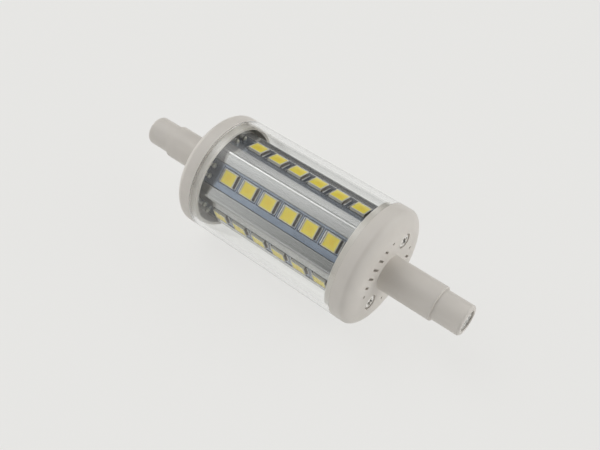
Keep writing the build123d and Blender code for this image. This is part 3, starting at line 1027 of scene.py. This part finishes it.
def sink_extrusion(sink, circle):
    """The extrusion, drawn out from its section along the lamp's axis."""
    section = bpy.data.curves.new("section", "CURVE")
    section.dimensions = "2D"
    section.fill_mode = "BOTH"
    section.extrude = sink.end_x
    angles = [2 * pi * k / 32 for k in range(32)]
    port = [sink.port_radius * Vector((cos(a), sin(a))) for a in angles]
    ports = [[point + Vector((side * circle, 0)) for point in port] for side in (-1, 1)]
    for loop in (sink_outline(sink), sink_bore(sink, circle), *ports):
        spline = section.splines.new("POLY")
        spline.points.add(len(loop) - 1)
        for point, place in zip(spline.points, loop):
            point.co = (place.x, place.y, 0, 1)
        spline.use_cyclic_u = True
    shape = bmesh.new()
    shape.from_mesh(plain_mesh(placed("carrier", section)))
    bpy.data.curves.remove(section)
    along_x = Matrix(((0, 0, 1, 0), (1, 0, 0, 0), (0, 1, 0, 0), (0, 0, 0, 1)))
    shape.transform(LAY @ along_x)
    return mesh_from(shape)


class LAMP_OT_heat_sink(bpy.types.Operator):
    """Build the six-sided extrusion that carries the boards"""
    bl_idname = "lamp.heat_sink"
    bl_label = "Heat sink"

    def execute(self, context):
        sink = context.scene.lamp_sink
        finish = extruded_metal("extruded aluminium", tuple(sink.metal))
        mesh = sink_extrusion(sink, context.scene.lamp_caps.screw_circle)
        add_piece("sink", mesh, finish, ["heat_sink"])
        return {"FINISHED"}


def bar(x0, x1, y0, y1, z0, z1):
    """A straight bar between its lowest and highest corners."""
    shape = bmesh.new()
    bmesh.ops.create_cube(shape, size=1.0)
    for vert in shape.verts:
        vert.co = (x1 if vert.co.x > 0 else x0, y1 if vert.co.y > 0 else y0, z1 if vert.co.z > 0 else z0)
    return mesh_from(shape)


def on_boards(mesh, tree, finish, number=1, start=0.0, pitch=0.0):
    """A shape repeated along each of the six boards."""
    sizes = {"Count": number, "Start": start, "Pitch": pitch, "Flats": len(BOARDS), "First turn": FIRST_TURN}
    return shaped(mesh, tree, finish, sizes)


def led_rows(board, mesh, tree, finish):
    """A part of one LED, set out in rows on all six boards."""
    start = board.shift_x - board.pitch * (board.leds - 1) / 2
    return on_boards(mesh, tree, finish, board.leds, start, board.pitch)


def printed_outline(board):
    """The printed lines round one LED, standing on its board."""
    wide, thick = board.line_width, 0.012 * MM
    x = board.led_length / 2 + board.pad_reach
    low = board.shift_y - board.led_width / 2 - 0.08 * MM
    high = board.shift_y + board.led_width / 2 + 0.10 * MM
    lines = (
        (-x - wide, x + wide, high, high + wide),
        (-x - wide, -x, low, high),
        (x, x + wide, low, high),
        (-x - wide, x + wide, low - wide, low),
    )
    return joined(*[bar(*line, board.top, board.top + thick) for line in lines])


class LAMP_OT_led_boards(bpy.types.Operator):
    """Build the six boards and the printed lines on them"""
    bl_idname = "lamp.led_boards"
    bl_label = "LED boards"

    def execute(self, context):
        board = context.scene.lamp_boards
        tree = rows_round_lamp()
        lacquer = board_lacquer("board lacquer", tuple(board.lacquer))
        long, wide = 2 * board.end_x, board.width
        corner, edge = 0.2 * MM, 0.05 * MM
        loops = [
            (rounded_rectangle(long, wide, corner, 3), board.top - board.thickness),
            (rounded_rectangle(long, wide, corner, 3), board.top - edge),
            (rounded_rectangle(long - 2 * edge, wide - 2 * edge, corner, 3), board.top),
        ]
        mesh = on_boards(stacked(loops, long, wide), tree, lacquer)
        add_piece("boards", mesh, lacquer, [f"led_board_{k}" for k in BOARDS])
        ink = printed_ink("outline ink", (0.010, 0.010, 0.013))
        add_piece("led_outlines", led_rows(board, printed_outline(board), tree, ink), ink, [])
        return {"FINISHED"}


def led_housing(board):
    """The white moulding of one LED, with a tapered cup."""
    long, wide, high = board.led_length, board.led_width, board.led_height
    corner, edge = 0.12 * MM, 0.06 * MM
    rim, foot = 2 * board.led_rim, 2 * (board.led_rim + board.cup_draft)
    return stacked([
        (rounded_rectangle(long, wide, corner), 0.0),
        (rounded_rectangle(long, wide, corner), high - edge),
        (rounded_rectangle(long - 2 * edge, wide - 2 * edge, 0.10 * MM), high),
        (rounded_rectangle(long - rim, wide - rim, board.cup_corner), high),
        (rounded_rectangle(long - foot, wide - foot, board.cup_corner), high - board.cup_depth),
    ], long, wide)


def led_filling(board):
    """The phosphor in one LED's cup, a little hollow on top."""
    long, wide, high = board.led_length, board.led_width, board.led_height
    rim, foot = 2 * board.led_rim, 2 * (board.led_rim + board.cup_draft)
    loops = [(rounded_rectangle(long - foot, wide - foot, board.cup_corner), high - board.cup_depth)]
    for inset, drop in ((0.02, 0.03), (0.25, 0.055), (0.6, 0.075), (1.2, 0.085)):
        inner = rim + inset * MM
        loops.append((rounded_rectangle(long - inner, wide - inner, board.cup_corner), high - drop * MM))
    return stacked(loops, long, wide)


def solder_fillet(board, side):
    """Solder and flux between one LED's end and its pad, with a hollow slope and thin sides."""
    shape = bmesh.new()
    uv = shape.loops.layers.uv.new("UVMap")
    overlap, foot, height = 0.02 * MM, 0.02 * MM, 0.44 * MM
    start, reach = board.led_length / 2 - overlap, board.pad_reach + overlap
    half = 0.45 * board.led_width
    steps = 5
    rings = []
    for y, share in ((-half, 0.3), (-half * 0.9, 1.0), (half * 0.9, 1.0), (half, 0.3)):
        line = [(0.0, 0.0)]
        for k in range(steps + 1):
            t = k / steps
            line.append((reach * t, share * height * (1 - t) ** 3 + foot))
        line.append((reach, 0.0))
        rings.append([shape.verts.new((side * (start + x), y, z)) for x, z in line])
    for ring, following in zip(rings, rings[1:]):
        bridge(shape, ring, following)
    shape.faces.new(rings[0])
    shape.faces.new(list(reversed(rings[-1])))
    for face in shape.faces:
        for loop in face.loops:
            loop[uv].uv = ((abs(loop.vert.co.x) - start) / reach, loop.vert.co.y / half / 2 + 0.5)
    return mesh_from(shape)


def store_shades(mesh, pieces):
    """A number from 0 to 1 for each of the like pieces in a mesh, well spread in a fixed order."""
    golden_share = 0.618
    values = mesh.attributes.new("shade", "FLOAT", "POINT")
    size = len(mesh.vertices) // pieces
    for k in range(len(mesh.vertices)):
        values.data[k].value = (k // size * golden_share) % 1.0


class LAMP_OT_leds(bpy.types.Operator):
    """Build the LEDs in their rows"""
    bl_idname = "lamp.leds"
    bl_label = "LEDs"

    def execute(self, context):
        board = context.scene.lamp_boards
        tree = bpy.data.node_groups["Rows round the lamp"]
        white = led_plastic("led white")
        shades = (board.phosphor_middle, board.phosphor_edge, board.phosphor_rim)
        yellow = led_phosphor("led phosphor", *[tuple(shade) for shade in shades])
        tin = shaded_fluxed_solder("led solder")
        fillets = joined(solder_fillet(board, -1), solder_fillet(board, 1))
        housings, fillings, solder = [
            led_rows(board, shifted(mesh, y=board.shift_y, z=board.top), tree, finish)
            for mesh, finish in ((led_housing(board), white), (led_filling(board), yellow), (fillets, tin))]
        store_shades(fillings, board.leds * len(BOARDS))
        add_piece("led_housings", housings, white, [f"led_housings_{k}" for k in BOARDS])
        add_piece("led_phosphors", fillings, yellow, [f"led_phosphors_{k}" for k in BOARDS])
        add_piece("led_solder", solder, tin, [])
        return {"FINISHED"}


def solder_bead(wiring, board, side):
    """A rounded bead on a board's end."""
    shape = bmesh.new()
    bmesh.ops.create_uvsphere(shape, u_segments=20, v_segments=10, radius=1.0)
    for vert in shape.verts:
        x, y, z = vert.co
        vert.co = (wiring.bead_x + x * wiring.bead_length / 2,
                   side * wiring.bead_spacing / 2 + y * wiring.bead_width / 2,
                   board.top + max(z, 0.0) ** 0.8 * wiring.bead_height)
    return mesh_from(shape)


def beside_axis(angle, across, height):
    """Y and Z of a point at across and height on the board that stands at angle from the first."""
    return (across * cos(angle) - height * sin(angle), across * sin(angle) + height * cos(angle))


def over_bead(wiring, board, angle, side):
    """Y and Z of a wire at one of the two beads on the board that stands at angle from the first."""
    height = board.top + wiring.wire_radius + wiring.clearance
    return beside_axis(angle, side * wiring.bead_spacing / 2, height)


def link_route(wiring, board, sink_reach, k):
    """The wire from one board's second bead round the sink's corner to the next board's first bead."""
    start = over_bead(wiring, board, k * pi / 3, -1)
    corner = beside_axis((k + 0.5) * pi / 3, 0, sink_reach - wiring.corner_drop)
    stop = over_bead(wiring, board, (k + 1) * pi / 3, 1)
    x, edge = wiring.turn_x, wiring.bead_edge_x
    return [(edge, *start), (x, *start), (x, *corner), (x, *stop), (edge, *stop)]


def feed_route(wiring, pad, bead):
    """A wire from the driver's left end to a free bead."""
    pad = [value * MM for value in pad]
    x = wiring.turn_x
    return [(wiring.driver_x, *pad), (x, *pad), (x, *bead), (wiring.bead_edge_x, *bead)]


class LAMP_OT_wiring(bpy.types.Operator):
    """Build the solder beads and the wires"""
    bl_idname = "lamp.wiring"
    bl_label = "Wiring"

    def execute(self, context):
        wiring, board = context.scene.lamp_wiring, context.scene.lamp_boards
        tin = bright_solder("bead solder")
        beads = joined(solder_bead(wiring, board, -1), solder_bead(wiring, board, 1))
        mesh = on_boards(beads, bpy.data.node_groups["Rows round the lamp"], tin)
        add_piece("beads", mesh, tin, ["solder_beads"])
        reach = widest("heat_sink")
        links = [link_route(wiring, board, reach, k) for k in range(len(BOARDS) - 1)]
        free_beads = (over_bead(wiring, board, 0, 1), over_bead(wiring, board, -pi / 3, -1))
        feeds = [feed_route(wiring, pad, bead) for pad, bead in zip(FEED_PADS, free_beads)]
        cover = moulded_plastic("wire cover", (0.74, 0.73, 0.68), 0.34)
        for name, routes, node in (("links_between_boards", links, "link_wires"),
                                   ("feeds_to_boards", feeds, "feed_wires")):
            mesh = joined(*[tube_along(route, wiring.wire_radius) for route in routes])
            mesh.transform(LAY)
            add_piece(name, mesh, cover, [node])
        red = moulded_plastic("lead cover", (0.50, 0.045, 0.035), 0.34)
        for side, sign in (("right", 1), ("left", -1)):
            mesh = tube_along([(sign * x * MM, y * MM, 0) for x, y in LEAD_ROUTE], wiring.lead_radius)
            mesh.transform(LAY)
            add_piece(f"{side}_lead", mesh, red, [f"lead_wire_{side}"])
        return {"FINISHED"}


class LAMP_OT_driver(bpy.types.Operator):
    """Finish the sleeve and the driver inside the sink"""
    bl_idname = "lamp.driver"
    bl_label = "Driver"

    def execute(self, context):
        case = moulded_plastic("moulded case", (0.012, 0.012, 0.013), 0.5)
        finishes = {
            "insulating_sleeve": moulded_plastic("sleeve film", (0.07, 0.07, 0.07), 0.45),
            "driver_board": driver_lacquer("driver lacquer"),
            "smoothing_capacitor": moulded_plastic("can sleeve", (0.010, 0.010, 0.014), 0.3),
            "inductor_core": moulded_plastic("ferrite", (0.022, 0.022, 0.024), 0.55),
            "inductor_winding": wound_copper("wound copper"),
            "fuse": case,
            "rectifier": case,
            "driver_chip": case,
        }
        for node, finish in finishes.items():
            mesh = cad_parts[node].data
            mesh.materials.clear()
            mesh.materials.append(finish)
        return {"FINISHED"}


def soft_studio(name, backdrop):
    """A room lit by the studio lights. The camera sees a plain backdrop instead."""
    world = bpy.data.worlds.new(name)
    world.use_nodes = True
    tree = NodeTree(world.node_tree)
    direction = tree.node("ShaderNodeTexCoord").outputs["Generated"]
    total = 0.0
    for elevation, azimuths, sharpness, strength in STUDIO_LIGHTS.values():
        for azimuth in azimuths:
            e, a = radians(elevation), radians(azimuth)
            inputs = {0: direction, 1: (cos(a) * cos(e), sin(a) * cos(e), sin(e))}
            facing = tree.node("ShaderNodeVectorMath", inputs, operation="DOT_PRODUCT").outputs["Value"]
            fall = tree.math("MULTIPLY_ADD", facing, sharpness, -sharpness)
            total = tree.math("MULTIPLY_ADD", tree.math("EXPONENT", fall), strength, total)
    seen = tree.node("ShaderNodeLightPath").outputs["Is Camera Ray"]
    shown = tree.mix(seen, total, backdrop)
    tree.join(shown, world.node_tree.nodes["Background"].inputs["Color"])
    return world


def table_mesh(size, z):
    """A square table top about the origin."""
    half = size / 2
    mesh = bpy.data.meshes.new("table")
    corners = [(-half, -half, z), (half, -half, z), (half, half, z), (-half, half, z)]
    mesh.from_pydata(corners, [], [(0, 1, 2, 3)])
    return mesh


class LAMP_OT_stage(bpy.types.Operator):
    """Set the table, the lights and the camera"""
    bl_idname = "lamp.stage"
    bl_label = "Stage"

    def execute(self, context):
        scene, stage = context.scene, context.scene.lamp_stage
        mesh = table_mesh(stage.floor_size, cad_box[0].z)
        mesh.materials.append(table_top("table top", tuple(stage.floor), tuple(stage.glow), stage.shadow))
        placed("table", mesh)
        scene.world = soft_studio("studio", tuple(stage.glow))
        data = bpy.data.cameras.new("camera")
        data.lens = stage.lens
        data.sensor_width = 36
        data.clip_start, data.clip_end = 0.005, 10
        camera = placed("camera", data)
        camera.location = stage.eye
        camera.rotation_euler = (pi / 2 - stage.elevation, 0, stage.azimuth)
        scene.camera = camera
        scene.view_settings.view_transform = "Standard"
        return {"FINISHED"}


class LAMP_PT_pieces(bpy.types.Panel):
    """The lamp's pieces, in the order in which they are built"""
    bl_label = "LED lamp"
    bl_space_type = "VIEW_3D"
    bl_region_type = "UI"
    bl_category = "Lamp"

    def draw(self, context):
        for step in STEPS:
            self.layout.operator(step.bl_idname)


SETTINGS = {
    "lamp_caps": LampCapSettings,
    "lamp_tube": LampTubeSettings,
    "lamp_sink": LampSinkSettings,
    "lamp_boards": LampBoardSettings,
    "lamp_wiring": LampWiringSettings,
    "lamp_stage": LampStageSettings,
}
STEPS = (
    LAMP_OT_end_caps, LAMP_OT_contacts, LAMP_OT_cap_screws, LAMP_OT_clear_tube, LAMP_OT_heat_sink,
    LAMP_OT_led_boards, LAMP_OT_leds, LAMP_OT_wiring, LAMP_OT_driver, LAMP_OT_stage,
)


def register():
    for kind in (*SETTINGS.values(), *STEPS, LAMP_PT_pieces):
        bpy.utils.register_class(kind)
    for name, kind in SETTINGS.items():
        setattr(bpy.types.Scene, name, PointerProperty(type=kind))


def unregister():
    for name in SETTINGS:
        delattr(bpy.types.Scene, name)
    for kind in (LAMP_PT_pieces, *reversed(STEPS), *reversed(SETTINGS.values())):
        bpy.utils.unregister_class(kind)


def main():
    register()
    bpy.ops.lamp.end_caps()
    bpy.ops.lamp.contacts()
    bpy.ops.lamp.cap_screws()
    bpy.ops.lamp.clear_tube()
    bpy.ops.lamp.heat_sink()
    bpy.ops.lamp.led_boards()
    bpy.ops.lamp.leds()
    bpy.ops.lamp.wiring()
    bpy.ops.lamp.driver()
    bpy.ops.lamp.stage()


if __name__ == "__main__":
    main()
